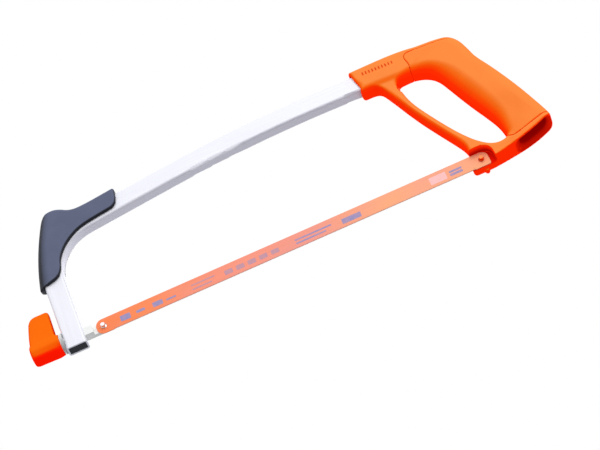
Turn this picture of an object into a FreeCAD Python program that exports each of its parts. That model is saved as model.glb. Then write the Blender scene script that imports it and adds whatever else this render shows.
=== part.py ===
import FreeCAD, Part
import math
import os

import Sketcher
from FreeCAD import Placement, Rotation, Vector

# Hand hacksaw for 300 mm blades.
# +X runs back towards the handle, +Z is up with the teeth pointing down, +Y is the far side.
# The origin lies midway between the two blade pins, on the face the blade is hung against.
# All sizes are in millimetres and all angles in degrees.

DIMENSIONS = [
    ("tube_depth", 16, "frame tube, size in the plane of the frame"),
    ("tube_width", 10, "frame tube, size across the frame"),
    ("tube_wall", 1.2, "frame tube wall"),
    ("tube_corner", 2, "frame tube outside corner radius"),
    ("leg_x", -173, "centre line of the front leg"),
    ("leg_bottom", -9, "open lower end of the front leg"),
    ("bend_radius", 43, "centre line radius of the front bend"),
    ("beam_slope", 6.7, "rise of the straight part of the top beam"),
    ("arch_radius", 930, "centre line radius of the arched part"),
    ("arch_x", 45, "crown of the arch"),
    ("arch_z", 112.3, "centre line height at the crown"),
    ("tube_end_x", 126, "end of the tube inside the handle"),
    ("slide_gap", 0.1, "working gap between the bar and its guides"),
    ("fit_gap", 0.05, "gap left between fixed pieces"),
    ("plug_height", 3.9, "leg plug"),
    ("plug_inset", 0.3, "leg plug, depth below the end of the tube"),
    ("plug_wall", 1.2, "leg plug skirt"),
    ("cover_width", 15, "front corner cover across the frame"),
    ("cover_round", 2, "front corner cover edge rounding"),
    ("pin_reach", 150.35, "each pin axis from the origin"),
    ("hole_reach", 150, "each blade hole from the origin"),
    ("hole_radius", 2.25, "blade hole"),
    ("pin_shank", 2.3, "pressed shank of a pin"),
    ("pin_neck", 1.85, "pin where it passes through the blade"),
    ("pin_tip", 1.65, "pin where it stands clear of the blade"),
    ("pin_neck_length", 0.95, "neck, from the seat outwards"),
    ("pin_tip_length", 2.5, "free end beyond the neck"),
    ("pin_bevel", 0.2, "bevel on the free end"),
    ("seat_gap", 0.05, "blade face to the seats"),
    ("bar_size", 7.4, "square tension bar"),
    ("bar_bevel", 0.5, "bevel along the bar"),
    ("bar_tip_x", -145.6, "rear end of the bar"),
    ("bar_tip_round", 1.2, "corners of the rear end of the bar"),
    ("bar_step_x", -158.3, "step down to the half thickness"),
    ("bar_front_x", -177.5, "front end of the square length"),
    ("thread_radius", 3, "M6 thread, outside radius"),
    ("thread_front_x", -200, "front end of the thread"),
    ("flange_radius", 8, "bush flange"),
    ("flange_thickness", 1.5, "bush flange"),
    ("bush_radius", 4.5, "bush body through the tube wall"),
    ("bush_length", 2.4, "bush body"),
    ("washer_radius", 7, "thrust washer"),
    ("washer_thickness", 1, "thrust washer"),
    ("nut_flats", 10, "knob nut across flats"),
    ("nut_length", 8, "knob nut"),
    ("hub_radius", 8.2, "knob hub at the leg"),
    ("hub_front_radius", 6.8, "knob hub at its front"),
    ("hub_length", 21.5, "knob hub"),
    ("hub_round", 2.2, "rounding of the front of the hub"),
    ("hub_recess", 1.2, "recess in the hub face"),
    ("hub_gap", 0.5, "hub face to the washer"),
    ("wing_top", 32.5, "top of the wing"),
    ("wing_root_x", -194.95, "middle of the wing at the hub axis"),
    ("wing_root_length", 20.5, "wing along the hub, at the hub axis"),
    ("wing_tip_x", -192.3, "middle of the wing at its top"),
    ("wing_tip_length", 14.5, "wing along the hub, at its top"),
    ("wing_tip_width", 6.4, "wing thickness at its top"),
    ("blade_length", 311.4, "blade overall"),
    ("blade_height", 13, "blade back to tooth tips"),
    ("blade_thickness", 0.65, "blade"),
    ("blade_round", 5.6, "blade end rounding"),
    ("blade_heel", 1.2, "rounding of the rear lower corner of the blade"),
    ("edge_height", 2, "hardened cutting edge strip"),
    ("edge_reach", 143, "cutting edge from the origin, each way"),
    ("tooth_pitch", 1.0583, "24 teeth to 25.4 mm"),
    ("tooth_depth", 0.6, "tooth height"),
    ("body_width", 14.2, "socket, guard and foot bar across"),
    ("body_round", 2.6, "edge rounding of the body"),
    ("socket_width", 10.3, "socket opening across"),
    ("sleeve_thickness", 2.4, "soft sleeve on the grip"),
    ("hollow_wall", 5, "outside of the grip to its hollow"),
    ("lug_reach", 151, "locating lug under the nose, from the origin"),
    ("lug_width", 2.8, "locating lug"),
    ("lug_drop", 2, "locating lug below the nose"),
    ("screw_radius", 2, "socket screw"),
    ("screw_head", 3.4, "socket screw head radius"),
    ("screw_head_height", 2, "socket screw head"),
    ("screw_length", 4.4, "socket screw under the head"),
    ("screw_sink", 1, "depth of the head in the casting"),
    ("screw_front_x", 101, "front socket screw"),
    ("screw_pitch", 17, "distance between the socket screws"),
    ("screw_z", 110.4, "height of the socket screws"),
]

# Closed outlines in the XZ plane: each corner is (x, z, rounding), a rounding of 0 being sharp.
OUTLINES = {
    "cover": [
        (-185.1, 50.6, 2.5),
        (-181, 74, 120),
        (-164.6, 116.5, 8),
        (-154.5, 116.2, 12),
        (-143, 108.4, 16),
        (-107, 112.7, 2.6),
        (-108.6, 95.2, 8),
        (-164.2, 88.5, 30),
        (-164.4, 53.5, 7),
    ],
    "body": [
        (89.3, 122.2, 0),
        (92.6, 100.3, 0),
        (104.7, 100.3, 12),
        (120, 60.5, 250),
        (144.9, 10.7, 12),
        (141.2, -7.2, 3),
        (158, -7.2, 60),
        (178, -2.9, 0),
        (178, 6.2, 0),
        (158, 5.2, 18),
        (137.1, 41.7, 200),
        (125.6, 66, 120),
        (115.4, 98.3, 6),
        (132, 97.8, 0),
        (132, 122.2, 0),
    ],
    "socket": [
        (83.4, 103.5, 0),
        (127, 100.5, 0),
        (128.1, 117.1, 0),
        (84.6, 120.1, 0),
    ],
    "seat": [
        (136, 7, 0),
        (136, -12, 0),
        (160, -12, 0),
        (160, 7, 9.8),
    ],
}

# Sections of the grip, square to its path: x, z and lean of the section's long side,
# then its depth, width and corner rounding.
GRIP = [
    (132, 109.7, 90, 25, 14.4, 3.6),
    (139.3, 108.4, 77, 25.6, 16, 4.8),
    (148.2, 107, 51, 30.9, 18.8, 6),
    (157, 102.7, 35.5, 35.6, 21.4, 7.5),
    (163, 91.5, 21, 33.2, 23.4, 9),
    (167.6, 79.8, 19.5, 32.1, 24, 10),
    (175.3, 59.8, 21.4, 32.8, 24, 10.5),
    (185.3, 35.3, 21.4, 33, 22, 9.5),
    (191, 10.2, 13, 34.6, 18, 7.5),
    (190.6, 2.6, 18.5, 37.6, 16, 6),
]
SLEEVE_SECTIONS = 9
HOLLOW_SECTIONS = slice(5, 10)
STATION_FIELDS = ("x", "z", "lean", "depth", "width", "corner")

doc = FreeCAD.newDocument("hacksaw")
sheet = doc.addObject("Spreadsheet::Sheet", "dims")


def fill_sheet():
    """Write every driving dimension into the sheet under its own name."""
    rows = list(DIMENSIONS)
    for name, corners in OUTLINES.items():
        for index, corner in enumerate(corners):
            for field, value in zip(("x", "z", "round"), corner):
                rows.append((f"{name}_{field}_{index}", value, f"{name} outline corner {index}"))
    for index, station in enumerate(GRIP):
        for field, value in zip(STATION_FIELDS, station):
            rows.append((f"grip_{field}_{index}", value, f"grip section {index}"))
    for row, (alias, value, note) in enumerate(rows, start=1):
        sheet.set(f"A{row}", note)
        sheet.set(f"B{row}", str(value))
        sheet.setAlias(f"B{row}", alias)
    doc.recompute()


def size(expression):
    """Present value of an expression in sheet names."""
    return float(sheet.evalExpression(str(expression)))


def linked(expression):
    """The expression as written from outside the sheet."""
    words = []
    for word in str(expression).split():
        bare = word.strip("()")
        words.append(word.replace(bare, f"dims.{bare}") if bare[:1].isalpha() else word)
    return " ".join(words)


def new_body(name):
    body = doc.addObject("PartDesign::Body", name)
    body.Label = name
    return body


def new_sketch(body, name, role, base=("0", "0", "0"), lean=None):
    """Sketch on an origin plane of its body, moved and leant by sheet expressions."""
    sketch = body.newObject("Sketcher::SketchObject", f"{body.Name}_{name}")
    plane = next(item for item in body.Origin.OriginFeatures if item.Role == role)
    sketch.AttachmentSupport = [(plane, "")]
    sketch.MapMode = "FlatFace"
    turn = Rotation() if lean is None else Rotation(Vector(0, 1, 0), -size(lean))
    sketch.AttachmentOffset = Placement(Vector(*(size(item) for item in base)), turn)
    for axis, item in zip("xyz", base):
        if item != "0":
            sketch.setExpression(f"AttachmentOffset.Base.{axis}", linked(item))
    if lean is not None:
        sketch.setExpression("AttachmentOffset.Rotation.Angle", f"-{linked(lean)}")
    return sketch


def add_line(sketch, start, end):
    return sketch.addGeometry(Part.LineSegment(Vector(*start, 0), Vector(*end, 0)), False)


def add_arc(sketch, centre, radius, start_angle, end_angle):
    circle = Part.Circle(Vector(*centre, 0), Vector(0, 0, 1), radius)
    return sketch.addGeometry(Part.ArcOfCircle(circle, start_angle, end_angle), False)


def measure(sketch, name, expression, kind, *places):
    """Add one dimension to a sketch and bind it to the sheet."""
    index = sketch.addConstraint(Sketcher.Constraint(kind, *places, size(expression)))
    sketch.renameConstraint(index, name)
    sketch.setExpression(f"Constraints.{name}", linked(expression))


def relate(sketch, kind, *places):
    sketch.addConstraint(Sketcher.Constraint(kind, *places))


def draw_circle(sketch, name, radius, x="0", y="0"):
    circle = Part.Circle(Vector(size(x), size(y), 0), Vector(0, 0, 1), size(radius))
    index = sketch.addGeometry(circle, False)
    measure(sketch, f"{name}_radius", radius, "Radius", index)
    for kind, axis, place in (("DistanceX", "x", x), ("DistanceY", "y", y)):
        if size(place) == 0:
            relate(sketch, "PointOnObject", index, 3, -2 if axis == "x" else -1)
        else:
            measure(sketch, f"{name}_{axis}", place, kind, -1, 1, index, 3)


def draw_rounded_rectangle(sketch, width, height, corner):
    """Draw a rounded rectangle centred on the sketch origin."""
    x = size(width) / 2
    y = size(height) / 2
    r = size(corner)
    quarter = math.pi / 2
    bottom = add_line(sketch, (r - x, -y), (x - r, -y))
    first = add_arc(sketch, (x - r, r - y), r, 3 * quarter, 4 * quarter)
    right = add_line(sketch, (x, r - y), (x, y - r))
    second = add_arc(sketch, (x - r, y - r), r, 0, quarter)
    top = add_line(sketch, (x - r, y), (r - x, y))
    third = add_arc(sketch, (r - x, y - r), r, quarter, 2 * quarter)
    left = add_line(sketch, (-x, y - r), (-x, r - y))
    fourth = add_arc(sketch, (r - x, r - y), r, 2 * quarter, 3 * quarter)
    around = [bottom, first, right, second, top, third, left, fourth]
    for index, side in enumerate(around):
        relate(sketch, "Tangent", side, 2, around[(index + 1) % len(around)], 1)
    relate(sketch, "Horizontal", bottom)
    relate(sketch, "Vertical", right)
    for arc in (second, third, fourth):
        relate(sketch, "Equal", first, arc)
    relate(sketch, "Symmetric", first, 3, third, 3, -1, 1)
    measure(sketch, "corner", corner, "Radius", first)
    measure(sketch, "width", width, "DistanceX", left, 1, right, 1)
    measure(sketch, "height", height, "DistanceY", bottom, 1, top, 1)


def draw_hexagon(sketch, flats):
    """Draw a hexagon centred on the sketch origin, two sides square to the first axis."""
    half = size(flats) / 2
    reach = half / math.cos(math.pi / 6)
    corners = [
        (reach * math.cos(math.radians(angle)), reach * math.sin(math.radians(angle)))
        for angle in range(30, 390, 60)
    ]
    ring = sketch.addGeometry(Part.Circle(Vector(0, 0, 0), Vector(0, 0, 1), reach), True)
    relate(sketch, "Coincident", ring, 3, -1, 1)
    sides = [add_line(sketch, corner, corners[(i + 1) % 6]) for i, corner in enumerate(corners)]
    for index, side in enumerate(sides):
        relate(sketch, "Coincident", side, 2, sides[(index + 1) % 6], 1)
        relate(sketch, "PointOnObject", side, 1, ring)
    for side in sides[1:]:
        relate(sketch, "Equal", sides[0], side)
    relate(sketch, "Vertical", sides[2])
    measure(sketch, "flats", flats, "DistanceX", sides[2], 1, sides[5], 1)


def corner_arc(before, corner, after, radius):
    """Where a rounded corner leaves its two sides, with the arc's centre and turning side."""
    back = Vector(before[0] - corner[0], before[1] - corner[1], 0).normalize()
    ahead = Vector(after[0] - corner[0], after[1] - corner[1], 0).normalize()
    half_angle = back.getAngle(ahead) / 2
    set_back = radius / math.tan(half_angle)
    middle = Vector(*corner, 0)
    centre = middle + (back + ahead).normalize() * (radius / math.sin(half_angle))
    turns_left = back.cross(ahead).z < 0
    return middle + back * set_back, middle + ahead * set_back, centre, turns_left


def draw_corner(sketch, before, corner, after, radius):
    """Draw one corner's arc. Returns the ends of its sides, the arc and its turning side."""
    if radius == 0:
        return corner, corner, None, True
    first, last, centre, left = corner_arc(before, corner, after, radius)
    ends = (first, last) if left else (last, first)
    angles = [math.atan2(end.y - centre.y, end.x - centre.x) for end in ends]
    if angles[1] < angles[0]:
        angles[1] += 2 * math.pi
    arc = add_arc(sketch, (centre.x, centre.y), radius, *angles)
    return (first.x, first.y), (last.x, last.y), arc, left


def join_rounded(sketch, name, point, sides, arc, left, radius):
    """Make an arc tangent to both its sides. Returns the point where the sides would meet."""
    before, after = sides
    relate(sketch, "Tangent", before, 2, arc, 1 if left else 2)
    relate(sketch, "Tangent", after, 1, arc, 2 if left else 1)
    marker = sketch.addGeometry(Part.Point(Vector(*point, 0)), True)
    relate(sketch, "PointOnObject", marker, 1, before)
    relate(sketch, "PointOnObject", marker, 1, after)
    measure(sketch, name, radius, "Radius", arc)
    return marker


def place_point(sketch, name, marker, x, y):
    """Set a point's two distances from the sketch origin."""
    for kind, axis, place in (("DistanceX", "x", x), ("DistanceY", "y", y)):
        if size(place) == 0:
            relate(sketch, "PointOnObject", marker, 1, -2 if axis == "x" else -1)
        else:
            measure(sketch, f"{axis}{name}", place, kind, -1, 1, marker, 1)


def draw_outline(sketch, corners):
    """Closed outline of straight sides; each corner is three expressions x, y and rounding."""
    points = [(size(x), size(y)) for x, y, _ in corners]
    count = len(points)
    drawn = []
    for index, point in enumerate(points):
        after = points[(index + 1) % count]
        drawn.append(draw_corner(sketch, points[index - 1], point, after, size(corners[index][2])))
    sides = [add_line(sketch, drawn[i][1], drawn[(i + 1) % count][0]) for i in range(count)]
    for index, (x, y, radius) in enumerate(corners):
        pair = (sides[index - 1], sides[index])
        _, _, arc, left = drawn[index]
        if arc is None:
            relate(sketch, "Coincident", pair[0], 2, pair[1], 1)
            marker = pair[1]
        else:
            marker = join_rounded(sketch, f"round{index}", points[index], pair, arc, left, radius)
        place_point(sketch, index, marker, x, y)


def named_outline(name):
    """Corners of one of the sheet's outlines."""
    return [
        (f"{name}_x_{index}", f"{name}_z_{index}", f"{name}_round_{index}")
        for index in range(len(OUTLINES[name]))
    ]


def box_outline(x0, x1, y0, y1):
    return [(x0, y0, "0"), (x1, y0, "0"), (x1, y1, "0"), (x0, y1, "0")]


def extrude(body, kind, sketch, length, midplane=False, reverse=False):
    """Pad or Pocket of a sketch by a sheet length."""
    feature = body.newObject(f"PartDesign::{kind}", f"{sketch.Name}_{kind}")
    feature.Profile = sketch
    feature.Length = size(length)
    feature.setExpression("Length", linked(length))
    feature.Midplane = midplane
    feature.Reversed = reverse
    doc.recompute()
    return feature


def turn(body, sketch, axis):
    """Full revolution of a sketch about one of its own axes."""
    feature = body.newObject("PartDesign::Revolution", f"{sketch.Name}_turned")
    feature.Profile = sketch
    feature.ReferenceAxis = (sketch, [axis])
    feature.Angle = 360
    doc.recompute()
    return feature


def loft(body, kind, sketches, name):
    feature = body.newObject(f"PartDesign::{kind}", f"{body.Name}_{name}")
    feature.Profile = sketches[0]
    feature.Sections = sketches[1:]
    doc.recompute()
    return feature


def soften(body, kind, base, edges, amount):
    """Fillet or Chamfer of the named edges."""
    feature = body.newObject(f"PartDesign::{kind}", f"{base.Name}_{kind}")
    feature.Base = (base, edges)
    field = "Radius" if kind == "Fillet" else "Size"
    setattr(feature, field, size(amount))
    feature.setExpression(field, linked(amount))
    doc.recompute()
    return feature


def edges_where(feature, test):
    """Names of the feature's edges whose every point passes the test."""
    names = []
    for index, edge in enumerate(feature.Shape.Edges, start=1):
        points = edge.discretize(3)
        if all(test(point) for point in points):
            names.append(f"Edge{index}")
    return names


def draw_frame_path(body):
    """Centre line of the tube: leg, front bend, straight beam and shallow arch."""
    sketch = new_sketch(body, "path", "XZ_Plane")
    slope = math.radians(size("beam_slope"))
    arch = size("arch_radius")
    bend = size("bend_radius")
    leg_x = size("leg_x")
    crown = (size("arch_x"), size("arch_z") - arch)
    join = (crown[0] - arch * math.sin(slope), crown[1] + arch * math.cos(slope))
    corner_z = join[1] - (join[0] - leg_x) * math.tan(slope)
    set_back = bend * math.tan((math.pi / 2 - slope) / 2)
    leg_top = corner_z - set_back
    start = (leg_x + set_back * math.cos(slope), corner_z + set_back * math.sin(slope))
    end_angle = math.acos((size("tube_end_x") - crown[0]) / arch)
    leg = add_line(sketch, (leg_x, size("leg_bottom")), (leg_x, leg_top))
    corner = add_arc(sketch, (leg_x + bend, leg_top), bend, math.pi / 2 + slope, math.pi)
    beam = add_line(sketch, start, join)
    top = add_arc(sketch, crown, arch, end_angle, math.pi / 2 + slope)
    relate(sketch, "Tangent", leg, 2, corner, 2)
    relate(sketch, "Tangent", corner, 1, beam, 1)
    relate(sketch, "Tangent", beam, 2, top, 2)
    relate(sketch, "Vertical", leg)
    measure(sketch, "leg_x", "leg_x", "DistanceX", -1, 1, leg, 1)
    measure(sketch, "leg_bottom", "leg_bottom", "DistanceY", -1, 1, leg, 1)
    measure(sketch, "bend", "bend_radius", "Radius", corner)
    measure(sketch, "arch", "arch_radius", "Radius", top)
    measure(sketch, "crown_x", "arch_x", "DistanceX", -1, 1, top, 3)
    measure(sketch, "crown_z", "arch_z - arch_radius", "DistanceY", -1, 1, top, 3)
    measure(sketch, "tube_end", "tube_end_x", "DistanceX", -1, 1, top, 1)
    index = sketch.addConstraint(Sketcher.Constraint("Angle", beam, slope))
    sketch.renameConstraint(index, "slope")
    sketch.setExpression("Constraints.slope", "dims.beam_slope * 1 deg")
    doc.recompute()
    return sketch


def sweep_tube(body, kind, path, name, growth):
    """Sweep the tube's section, grown on every side by the given expression."""
    section = new_sketch(body, name, "XY_Plane", ("leg_x", "0", "leg_bottom"))
    draw_rounded_rectangle(
        section,
        f"tube_depth + 2 * {growth}",
        f"tube_width + 2 * {growth}",
        f"tube_corner + {growth}",
    )
    feature = body.newObject(f"PartDesign::{kind}", f"{section.Name}_swept")
    feature.Profile = section
    feature.Spine = (path, [f"Edge{index + 1}" for index in range(len(path.Shape.Edges))])
    doc.recompute()
    return feature


def build_frame_tube():
    body = new_body("frame_tube")
    path = draw_frame_path(body)
    sweep_tube(body, "AdditivePipe", path, "outside", "0")
    sweep_tube(body, "SubtractivePipe", path, "inside", "(0 - tube_wall)")
    bar_hole = new_sketch(body, "bar_hole", "YZ_Plane", ("0", "0", "leg_x"))
    low, high = "0 - bar_size / 2 - slide_gap", "bar_size / 2 + slide_gap"
    draw_outline(bar_hole, box_outline(low, high, low, high))
    extrude(body, "Pocket", bar_hole, "tube_depth", reverse=True)
    bush_hole = new_sketch(body, "bush_hole", "YZ_Plane", ("0", "0", "leg_x"))
    draw_circle(bush_hole, "bush", "bush_radius + fit_gap")
    extrude(body, "Pocket", bush_hole, "tube_depth")
    screw_holes = new_sketch(body, "screw_holes", "XZ_Plane")
    for index in range(2):
        place = f"screw_front_x + {index} * screw_pitch"
        draw_circle(screw_holes, f"hole{index}", "screw_radius + fit_gap", place, "screw_z")
    extrude(body, "Pocket", screw_holes, "tube_width")
    return body


def build_leg_plug():
    body = new_body("leg_plug")
    base = ("leg_x", "0", "leg_bottom + plug_inset")
    inside = "tube_wall + fit_gap"
    block = new_sketch(body, "block", "XY_Plane", base)
    draw_rounded_rectangle(
        block,
        f"tube_depth - 2 * ( {inside} )",
        f"tube_width - 2 * ( {inside} )",
        "tube_corner - tube_wall",
    )
    solid = extrude(body, "Pad", block, "plug_height")
    low = size(base[2])
    rim = edges_where(solid, lambda point: abs(point.z - low) < 0.01)
    soften(body, "Chamfer", solid, rim, "plug_inset")
    top = ("leg_x", "0", "leg_bottom + plug_inset + plug_height")
    hollow = new_sketch(body, "hollow", "XY_Plane", top)
    draw_rounded_rectangle(
        hollow,
        "tube_depth - 2 * ( tube_wall + plug_wall )",
        "tube_width - 2 * ( tube_wall + plug_wall )",
        "tube_corner / 4",
    )
    extrude(body, "Pocket", hollow, "plug_height - plug_wall")
    return body


def build_corner_cover():
    """Deep cover over the outside of the front bend, open along the inside of the frame."""
    body = new_body("corner_cover")
    outline = new_sketch(body, "outline", "XZ_Plane")
    draw_outline(outline, named_outline("cover"))
    block = extrude(body, "Pad", outline, "cover_width", midplane=True)
    half = size("cover_width") / 2
    rims = edges_where(block, lambda point: abs(abs(point.y) - half) < 0.01)
    soften(body, "Fillet", block, rims, "cover_round")
    path = draw_frame_path(body)
    sweep_tube(body, "SubtractivePipe", path, "channel", "fit_gap")
    return body


def build_rod_bush():
    """Flanged bush that carries the bar's thread through the leg."""
    body = new_body("rod_bush")
    section = new_sketch(body, "section", "XZ_Plane")
    face = "leg_x - tube_depth / 2 - fit_gap"
    bore = "thread_radius + slide_gap"
    draw_outline(section, [
        (f"{face} - flange_thickness", bore, "0"),
        (f"{face} + bush_length", bore, "0"),
        (f"{face} + bush_length", "bush_radius", "0"),
        (face, "bush_radius", "0"),
        (face, "flange_radius", "0"),
        (f"{face} - flange_thickness", "flange_radius", "0"),
    ])
    turn(body, section, "H_Axis")
    return body


def build_tension_bar():
    """Square bar, half lapped at the blade and threaded at the knob."""
    body = new_body("tension_bar")
    square = new_sketch(body, "square", "YZ_Plane", ("0", "0", "bar_front_x"))
    draw_rounded_rectangle(square, "bar_size", "bar_size", "bar_bevel")
    extrude(body, "Pad", square, "bar_tip_x - bar_front_x")
    stem = new_sketch(body, "stem", "YZ_Plane", ("0", "0", "bar_front_x"))
    draw_circle(stem, "thread", "thread_radius")
    thread = extrude(body, "Pad", stem, "bar_front_x - thread_front_x", reverse=True)
    front = size("thread_front_x")
    tip = edges_where(thread, lambda point: abs(point.x - front) < 0.01)
    soften(body, "Chamfer", thread, tip, "bar_bevel")
    lap = new_sketch(body, "lap", "XZ_Plane", ("0", "0", "0 - seat_gap"))
    draw_outline(lap, box_outline("bar_step_x", "bar_tip_x + bar_size", "0 - bar_size", "bar_size"))
    lapped = extrude(body, "Pocket", lap, "bar_size", reverse=True)
    end = size("bar_tip_x")
    top = size("bar_size / 2")
    corners = edges_where(lapped, lambda p: abs(p.x - end) < 0.01 and abs(p.z) > top - 0.01)
    soften(body, "Fillet", lapped, corners, "bar_tip_round")
    hole = new_sketch(body, "pin_hole", "XZ_Plane")
    draw_circle(hole, "pin", "pin_shank", "0 - pin_reach")
    extrude(body, "Pocket", hole, "bar_size")
    return body


def build_blade_pin(name, x, depth):
    """Stepped pin along Y: pressed shank, neck through the blade and a free end."""
    body = new_body(name)
    section = new_sketch(body, "section", "XY_Plane", (x, "0", "0"))
    neck_end = "seat_gap - pin_neck_length"
    tip_end = f"{neck_end} - pin_tip_length"
    draw_outline(section, [
        ("0", tip_end, "0"),
        ("pin_tip - pin_bevel", tip_end, "0"),
        ("pin_tip", f"{tip_end} + pin_bevel", "0"),
        ("pin_tip", neck_end, "0"),
        ("pin_neck", neck_end, "0"),
        ("pin_neck", "seat_gap", "0"),
        ("pin_shank", "seat_gap", "0"),
        ("pin_shank", depth, "0"),
        ("0", depth, "0"),
    ])
    turn(body, section, "V_Axis")
    return body


def build_thrust_washer():
    body = new_body("thrust_washer")
    back = "leg_x - tube_depth / 2 - flange_thickness - 2 * fit_gap"
    ring = new_sketch(body, "ring", "YZ_Plane", ("0", "0", back))
    draw_circle(ring, "outer", "washer_radius")
    draw_circle(ring, "inner", "thread_radius + slide_gap")
    extrude(body, "Pad", ring, "washer_thickness", reverse=True)
    return body


NUT_FACE = "leg_x - tube_depth / 2 - flange_thickness - washer_thickness - 3 * fit_gap"
HUB_FACE = f"{NUT_FACE} - hub_gap"


def build_knob_nut():
    body = new_body("knob_nut")
    hexagon = new_sketch(body, "hexagon", "YZ_Plane", ("0", "0", NUT_FACE))
    draw_hexagon(hexagon, "nut_flats")
    extrude(body, "Pad", hexagon, "nut_length", reverse=True)
    bore = new_sketch(body, "bore", "YZ_Plane", ("0", "0", NUT_FACE))
    draw_circle(bore, "thread", "thread_radius + fit_gap")
    extrude(body, "Pocket", bore, "nut_length")
    return body


def build_knob():
    """Tapered hub with one flat wing, moulded in one piece."""
    body = new_body("wing_knob")
    section = new_sketch(body, "hub", "XZ_Plane")
    front = f"{HUB_FACE} - hub_length"
    draw_outline(section, [
        (HUB_FACE, "0", "0"),
        (HUB_FACE, "hub_radius", "0"),
        (front, "hub_front_radius", "hub_round"),
        (front, "0", "0"),
    ])
    turn(body, section, "H_Axis")
    root = new_sketch(body, "wing_root", "XY_Plane", ("wing_root_x", "0", "0"))
    draw_rounded_rectangle(root, "wing_root_length", "2 * hub_front_radius", "hub_round")
    tip = new_sketch(body, "wing_tip", "XY_Plane", ("wing_tip_x", "0", "wing_top"))
    draw_rounded_rectangle(tip, "wing_tip_length", "wing_tip_width", "hub_round")
    wing = loft(body, "AdditiveLoft", [root, tip], "wing")
    top = size("wing_top")
    rim = edges_where(wing, lambda point: abs(point.z - top) < 0.01)
    soften(body, "Fillet", wing, rim, "hub_round")
    recess = new_sketch(body, "recess", "YZ_Plane", ("0", "0", HUB_FACE))
    draw_circle(recess, "recess", "hub_front_radius")
    extrude(body, "Pocket", recess, "hub_recess")
    nut = new_sketch(body, "nut", "YZ_Plane", ("0", "0", HUB_FACE))
    draw_hexagon(nut, "nut_flats + 2 * fit_gap")
    extrude(body, "Pocket", nut, "nut_length - hub_gap + fit_gap")
    bore = new_sketch(body, "bore", "YZ_Plane", ("0", "0", HUB_FACE))
    draw_circle(bore, "thread", "thread_radius + 2 * slide_gap")
    extrude(body, "Pocket", bore, f"{HUB_FACE} - thread_front_x + hub_recess")
    return body


def build_blade():
    """Painted back of the bi-metal blade, above the hardened strip."""
    body = new_body("blade_back")
    outline = new_sketch(body, "outline", "XZ_Plane")
    low = "0 - blade_height / 2"
    strip_top = f"{low} + edge_height"
    front_step, rear_step = "0 - edge_reach - fit_gap", "edge_reach + fit_gap"
    draw_outline(outline, [
        ("0 - blade_length / 2", "blade_height / 2", "blade_round"),
        ("0 - blade_length / 2", low, "blade_round"),
        (front_step, low, "0"),
        (front_step, strip_top, "0"),
        (rear_step, strip_top, "0"),
        (rear_step, low, "0"),
        ("blade_length / 2", low, "blade_heel"),
        ("blade_length / 2", "blade_height / 2", "blade_round"),
    ])
    extrude(body, "Pad", outline, "blade_thickness")
    holes = new_sketch(body, "holes", "XZ_Plane", ("0", "0", "blade_thickness"))
    draw_circle(holes, "front", "hole_radius", "0 - hole_reach")
    draw_circle(holes, "rear", "hole_radius", "hole_reach")
    extrude(body, "Pocket", holes, "blade_thickness")
    return body


def build_blade_edge():
    """Hardened strip with its teeth raked towards the front of the saw."""
    reach = size("edge_reach")
    pitch = size("tooth_pitch")
    low = -size("blade_height") / 2
    root = low + size("tooth_depth")
    top = low + size("edge_height")
    count = int(2 * reach / pitch)
    points = [Vector(-reach, 0, top), Vector(-reach, 0, root)]
    for index in range(count):
        start = index * pitch - reach
        points.append(Vector(start, 0, low))
        points.append(Vector(start + pitch, 0, root))
    points.append(Vector(reach, 0, root))
    points.append(Vector(reach, 0, top))
    points.append(points[0])
    face = Part.Face(Part.makePolygon(points))
    strip = doc.addObject("Part::Feature", "blade_edge")
    strip.Label = "blade_edge"
    strip.Shape = face.extrude(Vector(0, -size("blade_thickness"), 0))
    strip.Placement = Placement()
    return strip


def grip_sketches(body, name, chosen, inset, shift="0"):
    """Sketches of the chosen grip sections, drawn in from the outside by the inset."""
    sketches = []
    for index in range(len(GRIP))[chosen]:
        base = (f"grip_x_{index} + {shift}", "0", f"grip_z_{index}")
        sketch = new_sketch(body, f"{name}{index}", "XY_Plane", base, f"grip_lean_{index}")
        draw_rounded_rectangle(
            sketch,
            f"grip_depth_{index} - 2 * {inset}",
            f"grip_width_{index} - 2 * {inset}",
            f"grip_corner_{index} - {inset}",
        )
        sketches.append(sketch)
    doc.recompute()
    return sketches


def add_handle_ring(body):
    """Flat ring of socket, guard and foot bar round the hand opening."""
    ring = new_sketch(body, "ring", "XZ_Plane")
    draw_outline(ring, named_outline("body"))
    block = extrude(body, "Pad", ring, "body_width", midplane=True)
    half = size("body_width") / 2
    rims = edges_where(block, lambda point: abs(abs(point.y) - half) < 0.01)
    soften(body, "Fillet", block, rims, "body_round")


def add_grip_core(body):
    """Core under the sleeve, the flared foot below it and the hollow up the middle."""
    core = grip_sketches(body, "core", slice(0, SLEEVE_SECTIONS), "( sleeve_thickness + fit_gap )")
    loft(body, "AdditiveLoft", core, "core")
    foot = grip_sketches(body, "foot", slice(SLEEVE_SECTIONS - 1, len(GRIP)), "0")
    loft(body, "AdditiveLoft", foot, "foot")
    hollow = grip_sketches(body, "hollow", HOLLOW_SECTIONS, "hollow_wall")
    loft(body, "SubtractiveLoft", hollow, "hollow")
    neck = new_sketch(body, "neck", "YZ_Plane", ("0", "grip_z_0", "grip_x_0 - hollow_wall"))
    skin = "2 * ( sleeve_thickness + fit_gap )"
    across, tall = f"grip_width_0 - {skin}", f"grip_depth_0 - {skin}"
    draw_rounded_rectangle(neck, across, tall, "grip_corner_0 / 2")
    extrude(body, "Pad", neck, "hollow_wall + fit_gap")


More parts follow.
